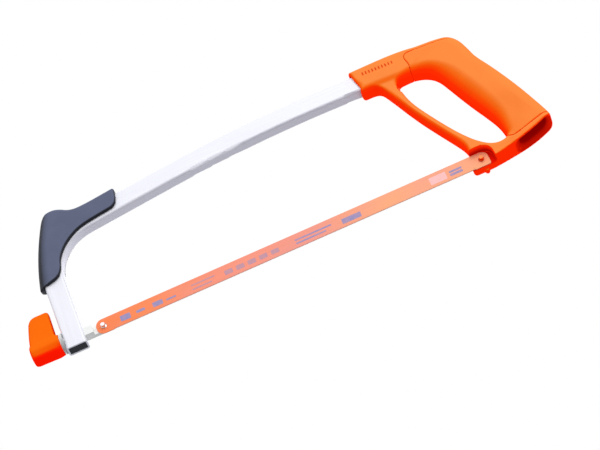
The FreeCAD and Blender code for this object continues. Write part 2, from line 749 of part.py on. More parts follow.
def cut_blade_seat(body):
    """Recess for the end of the blade, with the pin's hole and the lug under the nose."""
    seat = new_sketch(body, "seat", "XZ_Plane", ("0", "0", "0 - seat_gap"))
    draw_outline(seat, named_outline("seat"))
    extrude(body, "Pocket", seat, "body_width", reverse=True)
    pin_hole = new_sketch(body, "pin_hole", "XZ_Plane")
    draw_circle(pin_hole, "pin", "pin_shank", "pin_reach")
    extrude(body, "Pocket", pin_hole, "body_width")
    lug = new_sketch(body, "lug", "XY_Plane", ("lug_reach", "0", "body_z_5 + fit_gap"))
    low, high = "0 - lug_width / 2", "lug_width / 2"
    draw_outline(lug, box_outline(low, high, "lug_width", "body_width / 2 - seat_gap"))
    extrude(body, "Pad", lug, "lug_drop", reverse=True)


def cut_screw_holes(body, name, radius, depth):
    """Two holes of one size through the far side of the socket."""
    holes = new_sketch(body, name, "XZ_Plane", ("0", "0", "0 - body_width / 2"))
    for index in range(2):
        place = f"screw_front_x + {index} * screw_pitch"
        draw_circle(holes, f"hole{index}", radius, place, "screw_z")
    extrude(body, "Pocket", holes, depth, reverse=True)


def build_handle_body():
    """Casting with the tube socket, guard, nose, hollow grip core and foot."""
    body = new_body("handle_body")
    add_handle_ring(body)
    add_grip_core(body)
    socket = new_sketch(body, "socket", "XZ_Plane")
    draw_outline(socket, named_outline("socket"))
    extrude(body, "Pocket", socket, "socket_width", midplane=True)
    cut_blade_seat(body)
    cut_screw_holes(body, "screw_sinks", "screw_head + fit_gap", "screw_sink")
    cut_screw_holes(body, "screw_holes", "screw_radius + fit_gap", "body_width / 2")
    return body


def add_primitive(kind, name, sizes, y, index):
    """Part primitive standing along +Y on the axis of one socket screw."""
    solid = doc.addObject(f"Part::{kind}", name)
    for field, expression in sizes.items():
        setattr(solid, field, size(expression))
        solid.setExpression(field, linked(expression))
    place = (f"screw_front_x + {index} * screw_pitch", y, "screw_z")
    solid.Placement = Placement(Vector(*map(size, place)), Rotation(Vector(1, 0, 0), -90))
    for axis, expression in zip("xyz", place):
        solid.setExpression(f"Placement.Base.{axis}", linked(expression))
    return solid


def build_socket_screws():
    """Two button head screws that hold the tube in its socket."""
    seat = "body_width / 2 - screw_sink"
    end = f"{seat} - screw_length"
    rim = f"{seat} + screw_head_height / 2"
    half_head = "screw_head_height / 2"
    shank_sizes = {"Radius": "screw_radius", "Height": "screw_length + fit_gap"}
    rim_sizes = {"Radius": "screw_head", "Height": half_head}
    crown_sizes = {"Radius1": "screw_head", "Radius2": "screw_head / 2", "Height": half_head}
    drive_sizes = {"Circumradius": "screw_radius / 2", "Height": "screw_head_height"}
    screws = []
    for index in range(2):
        shank = add_primitive("Cylinder", f"shank{index}", shank_sizes, end, index)
        flange = add_primitive("Cylinder", f"rim{index}", rim_sizes, seat, index)
        crown = add_primitive("Cone", f"crown{index}", crown_sizes, rim, index)
        drive = add_primitive("Prism", f"drive{index}", drive_sizes, rim, index)
        blank = doc.addObject("Part::MultiFuse", f"blank{index}")
        blank.Shapes = [shank, flange, crown]
        screw = doc.addObject("Part::Cut", f"screw{index}")
        screw.Base = blank
        screw.Tool = drive
        screws.append(screw)
    group = doc.addObject("Part::Compound", "socket_screws")
    group.Label = "socket_screws"
    group.Links = screws
    doc.recompute()
    return group


def build_grip_sleeve():
    """Soft sleeve moulded round the core of the grip."""
    body = new_body("grip_sleeve")
    outside = grip_sketches(body, "outside", slice(0, SLEEVE_SECTIONS), "0")
    loft(body, "AdditiveLoft", outside, "sleeve")
    inside = grip_sketches(body, "inside", slice(0, SLEEVE_SECTIONS), "sleeve_thickness")
    loft(body, "SubtractiveLoft", inside, "cavity")
    return body


fill_sheet()
pieces = [
    build_frame_tube(),
    build_leg_plug(),
    build_corner_cover(),
    build_rod_bush(),
    build_tension_bar(),
    build_blade_pin("front_blade_pin", "0 - pin_reach", "bar_size / 2"),
    build_blade_pin("rear_blade_pin", "pin_reach", "body_width / 2"),
    build_thrust_washer(),
    build_knob_nut(),
    build_knob(),
    build_blade(),
    build_blade_edge(),
    build_handle_body(),
    build_grip_sleeve(),
    build_socket_screws(),
]
doc.recompute()

os.makedirs("parts", exist_ok=True)
failed = [item.Label for item in doc.Objects if {"Invalid", "Error"} & set(item.State)]
if failed:
    raise RuntimeError(f"these did not build: {failed}")
for piece in pieces:
    if piece.Shape.isNull() or not piece.Shape.isValid():
        raise RuntimeError(f"{piece.Label} has no valid shape")
    piece.Shape.exportStep(f"parts/{piece.Label}.step")
    box = piece.Shape.BoundBox
    print(f"{piece.Label}: {len(piece.Shape.Solids)} solid, {piece.Shape.Volume:.0f} mm3, {box}")
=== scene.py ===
import math

import bpy
import numpy as np
import openvdb
from mathutils import Matrix, Vector


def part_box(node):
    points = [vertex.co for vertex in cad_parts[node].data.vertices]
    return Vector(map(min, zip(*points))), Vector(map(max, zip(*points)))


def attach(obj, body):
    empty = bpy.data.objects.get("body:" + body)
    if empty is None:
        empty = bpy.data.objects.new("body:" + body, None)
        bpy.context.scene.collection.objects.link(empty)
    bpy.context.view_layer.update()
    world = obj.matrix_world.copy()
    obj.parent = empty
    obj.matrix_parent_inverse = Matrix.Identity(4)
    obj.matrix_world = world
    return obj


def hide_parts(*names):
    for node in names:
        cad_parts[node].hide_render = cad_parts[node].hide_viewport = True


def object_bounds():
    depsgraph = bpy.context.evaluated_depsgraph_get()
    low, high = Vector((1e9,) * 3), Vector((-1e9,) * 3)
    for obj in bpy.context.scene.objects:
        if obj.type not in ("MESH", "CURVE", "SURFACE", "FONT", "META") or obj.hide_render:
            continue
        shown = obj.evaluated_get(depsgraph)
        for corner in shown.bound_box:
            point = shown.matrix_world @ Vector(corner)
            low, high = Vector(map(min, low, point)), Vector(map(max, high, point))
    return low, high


# Looks of the hacksaw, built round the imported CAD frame. Shapes are written in millimetres.
# -Y is the near side, +X the handle, +Z up.

MM = 0.001
NEAR_LIGHT = (0.25, -0.78, 0.57)    # points from the saw towards the soft light
FACE_LIT = 0.885                    # about what Shader.lit() gives on an upright near face
SAME_POINT = 1e-4                   # outline points closer than this are one point
FAR = 1e6                           # further than anything on the saw
OUTSIDE = 10.0                      # what a field counts as beyond its block

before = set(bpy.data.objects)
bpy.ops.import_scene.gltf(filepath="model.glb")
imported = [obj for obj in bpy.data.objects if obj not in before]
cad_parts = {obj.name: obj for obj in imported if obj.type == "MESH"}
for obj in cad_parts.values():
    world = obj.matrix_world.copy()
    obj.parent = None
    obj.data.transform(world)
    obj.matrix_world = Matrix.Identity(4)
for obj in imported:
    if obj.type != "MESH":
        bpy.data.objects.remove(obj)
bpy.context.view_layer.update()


# ---------------------------------------------------------------- outlines and fields

def rounded(corners, steps=8):
    """Closed outline as points.

    A corner is (x, z), rounded to the middle of its sides, or (x, z, set-back).
    """
    points = []
    for index, (x, z, *given) in enumerate(corners):
        corner = Vector((x, z))
        ends = []
        for other in (corners[index - 1], corners[(index + 1) % len(corners)]):
            side = Vector(other[:2]) - corner
            share = given[0] / side.length if given else 0.5
            ends.append(corner + side * min(share, 0.5))
        for step in range(steps + 1):
            t = step / steps
            point = ends[0] * (1 - t) ** 2 + corner * 2 * t * (1 - t) + ends[1] * t * t
            gaps = [(point - known).length for known in points[-1:] + points[:1]]
            if not points or min(gaps) > SAME_POINT:
                points.append(point)
    return points


class Block:
    """Grid of sample points over a box, with the field operations that shape a solid in it."""

    def __init__(self, low, high, step):
        self.low = np.array(low, float)
        self.step = step
        axes = [np.arange(a, b + step, step) for a, b in zip(low, high)]
        self.x, self.y, self.z = np.meshgrid(*axes, indexing="ij", sparse=True)

    def distance(self, points, closed=False):
        """Distance in the XZ plane to a chain of points; negative inside a closed one."""
        nearest = np.full(np.broadcast(self.x, self.z).shape, FAR)
        inside = np.zeros(nearest.shape, bool)
        ends = list(points[1:]) + ([points[0]] if closed else [])
        for start, end in zip(points, ends):
            run, rise = end[0] - start[0], end[1] - start[1]
            along = ((self.x - start[0]) * run + (self.z - start[1]) * rise) / (run * run + rise * rise)
            along = np.clip(along, 0, 1)
            gap = np.hypot(self.x - start[0] - along * run, self.z - start[1] - along * rise)
            nearest = np.minimum(nearest, gap)
            if closed and rise:
                crossed = (start[1] > self.z) != (end[1] > self.z)
                inside ^= crossed & (self.x < start[0] + (self.z - start[1]) * run / rise)
        return np.where(inside, -nearest, nearest)

    def outline(self, corners):
        return self.distance(rounded(corners), closed=True)

    def plate(self, plan, half, edge, reach=None):
        """Plate over a plan distance. Its rim rounds over edge in thickness and over reach in plan."""
        across = np.abs(self.y) - half + edge
        along = plan * (1 if reach is None else edge / reach) + edge
        outer = np.hypot(np.maximum(across, 0), np.maximum(along, 0))
        return outer + np.minimum(np.maximum(across, along), 0) - edge

    def spread(self, stations, reach):
        """Smooth fields over XZ from stations (x, z, value, value...), each felt over about reach."""
        never_zero = 1e-12
        total = 0
        sums = [0] * (len(stations[0]) - 2)
        for x, z, *values in stations:
            weight = np.exp(-((self.x - x) ** 2 + (self.z - z) ** 2) / (2 * reach ** 2)) + never_zero
            total = total + weight
            sums = [s + weight * value for s, value in zip(sums, values)]
        return [s / total for s in sums]


def melt(a, b, width):
    """Union of two fields with a blended joint."""
    overlap = np.maximum(width - np.abs(a - b), 0) / width
    return np.minimum(a, b) - overlap ** 2 * width / 4


def trim(a, b, width):
    """Overlap of two fields with a softened edge."""
    return -melt(-a, -b, width)


def solid(name, block, field, body, material, nodes, recess=None):
    """Skin of a field as a smooth piece that stands for CAD nodes.

    Its last argument is the painted shade of each face in a recess, from 0 to 1, kept on the mesh.
    """
    grid = openvdb.FloatGrid(OUTSIDE)
    grid.copyFromArray(np.ascontiguousarray(field, dtype=np.float32))
    points, quads = grid.convertToQuads(isovalue=0)
    points = (np.array(points) * block.step + block.low) * MM
    mesh = bpy.data.meshes.new(name)
    mesh.from_pydata(points.tolist(), [], quads[:, ::-1].tolist())
    mesh.shade_smooth()
    if recess is not None:
        nearest = np.round((points / MM - block.low) / block.step).astype(int)
        values = recess[nearest[:, 0], nearest[:, 1], nearest[:, 2]].astype(np.float32)
        mesh.attributes.new("recess", "FLOAT", "POINT").data.foreach_set("value", values)
    piece = bpy.data.objects.new(name, mesh)
    bpy.context.scene.collection.objects.link(piece)
    mesh.materials.append(material)
    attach(piece, body)
    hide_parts(*nodes)


def tube_path(steps=24):
    """Centre line of the frame tube: leg, bend, straight beam and arch."""
    slope = math.radians(6.7)
    arch, bend = 930, 43
    leg_x, foot_z = -173, -9
    top_x, top_z, end_x = 45, 112.3, 126
    arch_centre = Vector((top_x, top_z - arch))
    join = arch_centre + arch * Vector((-math.sin(slope), math.cos(slope)))
    leg_top = join.y - (join.x - leg_x) * math.tan(slope) - bend * math.tan((math.pi / 2 - slope) / 2)
    bend_centre = Vector((leg_x + bend, leg_top))
    points = [Vector((leg_x, foot_z))]
    for step in range(steps + 1):
        angle = math.pi - (math.pi / 2 - slope) * step / steps
        points.append(bend_centre + bend * Vector((math.cos(angle), math.sin(angle))))
    for step in range(steps + 1):
        angle = slope + (math.asin((end_x - top_x) / arch) + slope) * -step / steps
        points.append(arch_centre + arch * Vector((-math.sin(angle), math.cos(angle))))
    return points


# ---------------------------------------------------------------- handle

# Outlines seen from the near side: (x, z) or (x, z, set-back), in millimetres.
HANDLE = [
    (89.3, 122.3, 1.2), (120, 122.7), (140, 122.0), (152, 120.4), (161, 118.9), (169, 116.8), (175, 109.5),
    (178, 99.5), (180.4, 88.5), (187.5, 73.8), (197.7, 48.8), (205.5, 25.5), (210.2, 9), (213, -6, 1),
    (175, -24, 1), (141.0, -24, 1), (141.2, 1.5, 2), (144.9, 10.7), (132.5, 34.5), (120, 60.5), (110.6, 85.5),
    (104.7, 100.3, 10), (92.6, 100.3, 1.2),
]
HANDLE_HOLE = [
    (118.6, 97.4, 6), (131, 97.5), (141, 94.2), (147.8, 87.5), (152.5, 74.5), (157.5, 60.5), (162.5, 47.6),
    (168, 34.6), (172.8, 21.5), (174.8, 6.6, 3), (168.5, 4.5), (162, 6.2), (155.3, 11.9), (147.5, 23.2),
    (140, 36.7), (130, 56.7), (122.4, 74), (119.6, 87),
]
UNDERSIDE = [
    (80, 140, 0), (80, -7.2, 0), (138.5, -7.2, 0), (155, -7.2), (165, -5.9), (175, -3.9), (185, -1.5),
    (195, 1.7), (203, 5.1), (210.2, 8.4, 3.2), (209.2, 16, 3), (225, 16, 0), (225, 140, 0),
]
SOCKET_BAR = [(89.3, 122.3, 1.2), (92.6, 100.3, 1.2), (128, 98.2, 6), (146, 104, 6), (146, 118), (128, 122.5)]
SOCKET = [(70, 104.4, 0), (127, 100.5, 1), (128.1, 117.1, 1), (71, 121, 0)]
SEAT = [(130, -14, 0), (160, -14, 0), (160, 7.2, 11.5), (138.2, 7.2, 11.5), (130, -2, 0)]
HOLLOW = [
    (173.5, -16, 0), (177.2, -4), (179.6, 8), (178.2, 24), (177, 44, 7), (195, 46, 7), (202.2, 32),
    (206.3, 18), (208.8, 8.4), (209.4, -16, 0),
]
CREASE = [(122.5, 95.8), (120.3, 95.4), (118.5, 93.2), (118.3, 89.8), (119.0, 87.4)]
SLEEVE = [
    (131.4, 88, 0), (131.8, 98), (133.2, 105.6), (131.0, 112.6), (134.0, 116.6, 2.5), (146.3, 115.5),
    (154, 114.4), (162, 113.1), (168, 111.9), (173, 113.4), (182, 124, 0), (240, 124, 0), (240, 21.7, 0),
    (208, 10.8), (199, 8.0), (190, 5.2), (180, 2.4), (175.4, 3.4), (172.5, 9, 2), (160, 30, 0),
]
# x, z, half thickness of the handle, and the rounding of its rim in thickness and in plan.
HANDLE_STATIONS = [
    (95, 111, 6.2, 2.6, 2.6), (108, 111, 6.2, 2.6, 2.6), (120, 111, 6.4, 2.8, 2.8), (112, 96, 6.4, 3.2, 3.2),
    (116, 82, 6.4, 4.2, 4.4), (123, 66, 6.4, 4.7, 5), (131, 49, 6.4, 4.7, 5), (139, 33, 6.4, 4.7, 5),
    (146, 18, 6.7, 4.2, 4.4), (148, 1, 7.1, 2.8, 2.8), (156, 3, 7.1, 3.4, 3.4), (165, 0, 7.3, 3.6, 3.6),
    (175, 1, 7.8, 4, 4), (132, 110, 7.4, 5, 6), (139.3, 108.4, 8.1, 6, 8), (148, 107, 9.4, 7, 10),
    (140, 98, 8.4, 6.6, 9), (153, 100, 10.4, 7.6, 10), (148, 91, 10.6, 9, 13), (155.6, 82.2, 11.8, 10.3, 15),
    (160.6, 69.7, 12, 10.6, 16), (165.6, 56.2, 12, 10.5, 16), (170.6, 43.7, 11.6, 10.2, 15),
    (175.6, 31.7, 10.9, 9.4, 13), (178.6, 20.2, 10, 8.6, 11), (160, 110, 10.2, 7.5, 8),
    (170, 100, 11.4, 8.6, 9), (175, 90, 11.8, 9, 9.5), (180, 77.5, 12, 9.5, 10), (185, 64, 12, 9.5, 10),
    (190, 51.5, 11.7, 9.4, 10), (195, 39.5, 11.2, 8.8, 9.5), (198, 28, 10.4, 8, 9), (201, 16, 9.7, 7, 8),
    (188, 12, 9.7, 7, 9), (182, 1, 8.9, 5.6, 6), (191, 1.8, 9.3, 5.5, 6), (204, 7, 9.3, 6, 6),
]
STATION_REACH = 7.5
SOCKET_HALF, SOCKET_RIM = 7.35, 2.6     # the socket bar's half thickness and the rounding of its rim
THIN_WALL, WALL_GAIN = 1.5, 2.6         # the hollow foot's wall at its mouth, and how much thicker it gets
SLEEVE_DEPTH, PARTING = 2.35, 0.03      # the sleeve's thickness, and half its gap to the casting
CREASE_HALF, CREASE_DEPTH = 0.5, 0.6
SEAT_Y = 0.12                           # the seat's face, just clear of the blade's hidden face
LUG_X, LUG_Z, LUG_RADIUS = 151, -7.4, 1.75
SCREW_PLACES, SCREW_Z = (101, 118), 110.4
SINK_RADIUS, SINK_FLOOR = 3.7, 6.1      # the sinks that the two screw heads lie in


def handle_field(block):
    """Outside of the whole handle, sleeve included, and the half thickness and rim it was made with."""
    half, edge, reach = block.spread(HANDLE_STATIONS, STATION_REACH)
    plan = np.maximum(block.outline(HANDLE), -block.outline(HANDLE_HOLE))
    ring = block.plate(plan, half, edge, reach)
    softer_below = SOCKET_RIM * np.clip((114 - block.z) / 8, 0, 1)
    bar = block.plate(block.outline(SOCKET_BAR), SOCKET_HALF, SOCKET_RIM + softer_below)
    return trim(melt(ring, bar, width=2.5), block.outline(UNDERSIDE), width=1.2), half, edge


def handle_recess(block, hollow, depth, seat, crease, socket):
    """Painted shade of each inner face of the casting, from 0 to 1: more deep in the hollow, set in the seat
    and crease, full in the socket. A later place overrules an earlier one.
    """
    recess = np.where(hollow < 0.95, np.clip(0.62 + depth / 14, 0, 1), 0)
    seat_sides = 0.42 + 0.5 * np.clip((block.y + 7) / 6.5, 0, 1)
    recess = np.where(seat < 0.5, np.where(block.y < -0.3, seat_sides, 0.5), recess)
    recess = np.where(crease < 0.1, np.maximum(recess, 0.45), recess)
    return np.where((socket < 0.5) & (block.x > 89.9), 1, recess)


def add_handle(casting_paint, sleeve_rubber):
    """Casting and sleeve, cut from one outside so that they meet along the parting line."""
    block = Block(low=(86, -13.2, -12), high=(212, 13.2, 126), step=0.6)
    outside, half, edge = handle_field(block)
    depth = -block.outline(UNDERSIDE)
    wall = THIN_WALL + WALL_GAIN * np.clip((depth - 1) / 2.5, 0, 1)
    hollow = block.plate(block.outline(HOLLOW) + wall - THIN_WALL, half - wall, edge - 1.0)
    socket = block.plate(block.outline(SOCKET), half=5.45, edge=2)
    seat = np.maximum(block.outline(SEAT), block.y - SEAT_Y)
    crease = block.distance(CREASE) - CREASE_HALF
    covered = block.outline(SLEEVE)
    sleeve = np.maximum(np.maximum(outside, -outside - SLEEVE_DEPTH), covered + PARTING)
    casting = np.minimum(np.maximum(outside, PARTING - covered), outside + SLEEVE_DEPTH + 0.1)
    casting = trim(casting, -hollow, width=0.5)
    casting = trim(casting, -np.maximum(crease, -CREASE_DEPTH - outside), width=0.4)
    casting = trim(trim(casting, -socket, width=0.5), -seat, width=0.6)
    lug = np.hypot(block.x - LUG_X, block.z - LUG_Z) - LUG_RADIUS
    casting = melt(casting, trim(lug, np.abs(block.y - 5) - 2.1, width=0.8), width=0.5)
    for screw_x in SCREW_PLACES:
        sink = np.hypot(block.x - screw_x, block.z - SCREW_Z) - SINK_RADIUS
        casting = np.maximum(casting, -np.maximum(sink, SINK_FLOOR - block.y))
    recess = handle_recess(block, hollow, depth, seat, crease, socket)
    solid("handle_casting", block, casting, "frame", casting_paint, ["handle_body"], recess)
    solid("grip_overmould", block, sleeve, "frame", sleeve_rubber, ["grip_sleeve"])


# ---------------------------------------------------------------- front cover and knob

CORNER = [
    (-185.3, 50.2, 2), (-182.6, 66), (-177.5, 86), (-171.0, 105.5), (-165.4, 115.1), (-157.5, 117.0),
    (-151, 115.2), (-143.5, 109.8), (-134, 109.2), (-106.8, 112.9, 2.5), (-107.9, 101.5),
    (-111.5, 95.3, 4), (-131, 92.4), (-141.5, 89.9), (-151, 84.2), (-158.3, 76.8), (-162.9, 68.6),
    (-164.6, 60.2), (-168.2, 54.2, 4), (-176, 51.6), (-181.2, 51.3, 1.5),
]
COVER_HALF = 7.5
TUBE_DEPTH_HALF, TUBE_WIDTH_HALF = 8.08, 5.08       # the tube with the cover's clearance round it


def add_corner_cover(rubber):
    """Soft pad: a deep spine with a panel down each side of the tube."""
    block = Block(low=(-188, -9, 47), high=(-104, 9, 120), step=0.5)
    crown = np.clip((block.z - 98) / 12, 0, 1)
    far_side = np.where(block.y > 5, 2.2, 0) * (1 - crown) * np.clip((block.z - 56) / 6, 0, 1)
    plan = block.outline(CORNER) + far_side
    panels = block.plate(plan, COVER_HALF, edge=1.3 + 0.9 * crown, reach=1.3 + 1.2 * crown)
    rise = block.z - 50
    front = 0.15 * rise + 0.0022 * rise ** 2 - 185.6
    spine = block.plate(0.96 * (front - block.x), COVER_HALF, edge=6.2, reach=10.5)
    lower_end = 50.3 + 3.2 * np.clip((block.y + 5) / 12, 0, 1) - block.z
    outside = trim(np.maximum(panels, spine), lower_end, width=0.8)
    channel = block.plate(block.distance(tube_path()) - TUBE_DEPTH_HALF, TUBE_WIDTH_HALF, edge=2)
    solid("corner_pad", block, trim(outside, -channel, width=0.4), "frame", rubber, ["corner_cover"])


KNOB_FACE, HUB_LENGTH, HUB_RADIUS = -183.1, 23.4, 8.2
WING_HEIGHT = 32.5
# Radius and floor (x) of each step of the bore, from the washer's pocket inwards.
KNOB_BORE = [(7.35, -184.5), (6.8, -185.4), (5.85, -200.5)]


def add_knob(plastic):
    """Hub and wing run into one another like a drop."""
    block = Block(low=(-208, -10, -10), high=(-182, 10, 35), step=0.45)
    back = KNOB_FACE - block.x
    radius = np.hypot(block.y, block.z)
    taper = 1.2 * back / 22.6
    hub = trim(radius - HUB_RADIUS + taper, np.maximum(-back, back - HUB_LENGTH), width=1.6)
    lift = np.clip(block.z / WING_HEIGHT, 0, 1)
    front = -206.2 + 5.6 * lift ** 1.6 + 2.6 * np.clip(lift / 0.2 - 4, 0, 1) ** 2
    rear = -186.0 + 0.9 * lift
    across = np.abs(block.y) - (6.6 - 3.3 * lift)
    side = np.maximum(front - block.x, block.x - rear)
    wing = trim(across, trim(side, np.abs(block.z - 13) - 19.4, width=2.6), width=2.6)
    steps = [np.maximum(radius - size, floor - block.x) for size, floor in KNOB_BORE]
    field = trim(melt(hub, wing, width=2), -np.minimum.reduce(steps), width=0.4)
    solid("knob_shell", block, field, "knob", plastic, ["wing_knob"])


# ---------------------------------------------------------------- plain marks

# x, z, length and height of each mark, on the near side.
BLUE_MARKS = [
    (-133, -0.6, 8.0, 5.2), (-121, -0.6, 7.0, 2.4), (-107.5, -1.0, 8.0, 4.4), (-97, -1.4, 8.0, 1.6),
    (16.5, 0.8, 29.0, 1.4), (14.0, -2.4, 24.0, 1.4), (46.5, -1.0, 15.0, 4.8),
    (129.6, 0.9, 10.0, 1.8), (129.6, -2.0, 10.0, 2.2),
]
FAINT_MARKS = [(-71, 1.2, 19.0, 1.2), (-72.5, -2.6, 16.0, 1.2)]
FAINT_MARKS += [(-51 + 9.2 * index, -0.7, 6.4, 4.2) for index in range(5)]
PALE_MARKS = [(115.6, -0.2, 13.0, 7.0)]
SOCKET_MARKS = [(98.8 + 2.6 * index, 115.1 - 0.14 * index, 1.2, 3.4) for index in range(10)]
BLADE_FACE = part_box("blade_back")[0].y / MM
SOCKET_FACE = -SOCKET_HALF - 0.1        # the blend with the ring swells the bar a little
INK_PROUD, RIB_PROUD = 0.03, 0.35
MARK_CORNER, MARK_ROOT, MARK_SLOPE = 0.7, 0.1, 0.3


def add_marks(name, marks, face, proud, body, material):
    """Small flat-topped bars standing proud of a near face and rooted a little under it."""
    vertices, faces = [], []
    for x, z, length, height in marks:
        right, top = length / 2, height / 2
        signs = [(-1, -1), (1, -1), (1, 1), (-1, 1)]
        outline = rounded([(x + a * right, z + b * top, MARK_CORNER) for a, b in signs], steps=4)
        first, count = len(vertices), len(outline)
        middle = Vector((x, z))
        for point in outline:
            vertices.append((point.x * MM, (face + MARK_ROOT) * MM, point.y * MM))
        for point in outline:
            inner = point + (middle - point).normalized() * min(proud, MARK_SLOPE)
            vertices.append((inner.x * MM, (face - proud) * MM, inner.y * MM))
        faces.append([first + count + index for index in range(count)])
        for index in range(count):
            after = (index + 1) % count
            faces.append([first + index, first + after, first + count + after, first + count + index])
    mesh = bpy.data.meshes.new(name)
    mesh.from_pydata(vertices, [], faces)
    mesh.materials.append(material)
    piece = bpy.data.objects.new(name, mesh)
    bpy.context.scene.collection.objects.link(piece)
    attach(piece, body)


# ---------------------------------------------------------------- materials

def linear(red, green, blue):
    """Shader colour from an 8-bit display colour."""
    parts = [value / 255 for value in (red, green, blue)]
    return tuple(((p + 0.055) / 1.055) ** 2.4 if p > 0.04045 else p / 12.92 for p in parts) + (1,)


class Shader:
    """Node graph of one material, in object coordinates."""

    def __init__(self, name):
        self.material = bpy.data.materials.new(name)
        self.material.use_nodes = True
        self.tree = self.material.node_tree
        self.surface = self.tree.nodes["Principled BSDF"]
        self.place = self.add("TexCoord").outputs["Object"]

    def add(self, kind, inputs=None, **settings):
        node = self.tree.nodes.new(f"ShaderNode{kind}")
        for name, value in settings.items():
            setattr(node, name, value)
        for name, value in (inputs or {}).items():
            self.feed(node.inputs[name], value)
        return node

    def feed(self, socket, value):
        if isinstance(value, bpy.types.NodeSocket):
            self.tree.links.new(value, socket)
        else:
            socket.default_value = value

    def set(self, **inputs):
        for name, value in inputs.items():
            self.feed(self.surface.inputs[name.replace("_", " ")], value)

    def noise(self, scale, detail=3, stretch=(1, 1, 1)):
        moved = self.add("Mapping", {"Vector": self.place, "Scale": stretch})
        inputs = {"Vector": moved.outputs[0], "Scale": scale, "Detail": detail}
        return self.add("TexNoise", inputs).outputs["Fac"]

    def ramp(self, factor, *stops):
        """Colour ramp of (position, colour) stops; a colour may be one grey value."""
        node = self.add("ValToRGB", {"Fac": factor})
        elements = node.color_ramp.elements
        while len(elements) < len(stops):
            elements.new(0.5)
        for element, (position, colour) in zip(elements, stops):
            element.position = position
            element.color = colour if isinstance(colour, tuple) else (colour, colour, colour, 1)
        return node.outputs["Color"]

    def mix(self, factor, first, second, blend="MIX"):
        node = self.add("Mix", data_type="RGBA", blend_type=blend)
        for socket, value in ((0, factor), (6, first), (7, second)):
            self.feed(node.inputs[socket], value)
        return node.outputs[2]

    def maths(self, operation, first, second=0.0):
        node = self.add("Math", operation=operation)
        self.feed(node.inputs[0], first)
        self.feed(node.inputs[1], second)
        return node.outputs[0]

    def remap(self, value, start, end, first=0.0, last=1.0):
        """A value from start to end, stretched to run from first to last."""
        limits = {"From Min": start, "From Max": end, "To Min": first, "To Max": last}
        return self.add("MapRange", {"Value": value, **limits}).outputs[0]

    def lit(self):
        """How far the surface faces the soft light, from 0 to 1. Both sides of the saw count as facing it."""
        normal = self.add("SeparateXYZ", {0: self.add("NewGeometry").outputs["Normal"]}).outputs
        sideways = self.maths("MULTIPLY", self.maths("ABSOLUTE", normal["Y"]), -1.0)
        facing = self.add("CombineXYZ", {"X": normal["X"], "Y": sideways, "Z": normal["Z"]}).outputs[0]
        dot = self.add("VectorMath", {0: facing, 1: NEAR_LIGHT}, operation="DOT_PRODUCT")
        return self.remap(dot.outputs["Value"], -1.0, 1.0)

    def edges(self, size):
        """1 on edges and corners sharper than size, 0 on open faces."""
        soft = self.add("Bevel", {"Radius": size}, samples=4).outputs["Normal"]
        sharp = self.add("NewGeometry").outputs["Normal"]
        dot = self.add("VectorMath", {0: soft, 1: sharp}, operation="DOT_PRODUCT").outputs["Value"]
        return self.remap(dot, 0.98, 0.8)

    def open_air(self, reach):
        """1 in the open, 0 deep in a recess."""
        return self.add("AmbientOcclusion", {"Distance": reach}, samples=6).outputs["AO"]

    def bump(self, height, distance, strength=1.0):
        node = self.add("Bump", {"Height": height, "Distance": distance, "Strength": strength})
        self.set(Normal=node.outputs["Normal"])


# Painted shade colour for the deepest recesses of the orange pieces.
RECESS_SHADE_RED = linear(112, 0, 1)
# Painted glow colours: emission that stands in for light on the orange pieces.
RED_GLOW = (1.0, 0.002, 0.0, 1)
WARM_GLOW = (1.0, 0.034, 0.0, 1)
KNOB_GLOW = (1.0, 0.01, 0.0, 1)
# Painted glow: the least emission any orange face keeps, also deep in recesses.
RECESS_GLOW = 0.17            # glow left in the deepest recesses of the orange pieces


def orange(name, lit, mid, shade, grain, depth, turn=1.0, open_glow=WARM_GLOW):
    """Strong orange with painted shade, running from lit through red to shade as a face turns from the soft
    light.

    It has painted shade in recesses, and a painted glow that keeps faces turned from the light bright red.
    turn is how steeply it falls from lit to shade as a face turns away, and the last argument is the colour
    of its painted glow in the open.
    """
    shader = Shader(name)
    # Painted shade: the colour is painted from lit through red to shade as a face turns from the soft light.
    facing = shader.maths("ADD", shader.maths("MULTIPLY", shader.lit(), turn), FACE_LIT * (1 - turn))
    body = shader.ramp(facing, (0.23, shade), (0.3, linear(250, 40, 3)), (0.5, linear(253, 48, 3)),
                       (0.68, linear(255, 86, 8)), (0.78, mid), (FACE_LIT, lit))
    cloud = shader.ramp(shader.noise(60, 2), (0.3, 0.95), (0.7, 1.0))
    speck = shader.ramp(shader.noise(grain * 1.7, 2), (0.35, 0.96), (0.65, 1.0))
    # Painted shade in recesses: occluded or recessed faces turn to the shade colour, and deep ones to a dark
    # painted shade red.
    open_air = shader.ramp(shader.open_air(0.016), (0.2, 0.0), (0.62, 1.0))
    recess = shader.add("Attribute", attribute_name="recess").outputs["Fac"]
    unshaded = shader.maths("MULTIPLY", open_air, shader.ramp(recess, (0.5, 1.0), (1.0, 0.0)))
    body = shader.mix(1.0, shader.mix(1.0, body, cloud, "MULTIPLY"), speck, "MULTIPLY")
    body = shader.mix(shader.ramp(recess, (0.1, 0.0), (0.45, 1.0)), body, shade)
    shader.set(Base_Color=shader.mix(unshaded, RECESS_SHADE_RED, body))
    shader.set(Roughness=shader.ramp(shader.noise(grain, 2), (0.3, 0.4), (0.7, 0.54)))
    # Painted glow: emission, strongest on faces turned from the light, keeps them bright red; recesses keep
    # only a small part of it.
    glow = shader.remap(facing, 0.2, 0.8, first=0.52, last=0.04)
    glow_over_recess = shader.maths("MULTIPLY", shader.maths("SUBTRACT", glow, RECESS_GLOW), unshaded)
    shader.set(Emission_Color=shader.mix(unshaded, RED_GLOW, open_glow))
    shader.set(Emission_Strength=shader.maths("ADD", glow_over_recess, RECESS_GLOW))
    shader.set(Specular_IOR_Level=0.0)
    shader.bump(shader.noise(grain, 3), depth)
    return shader.material


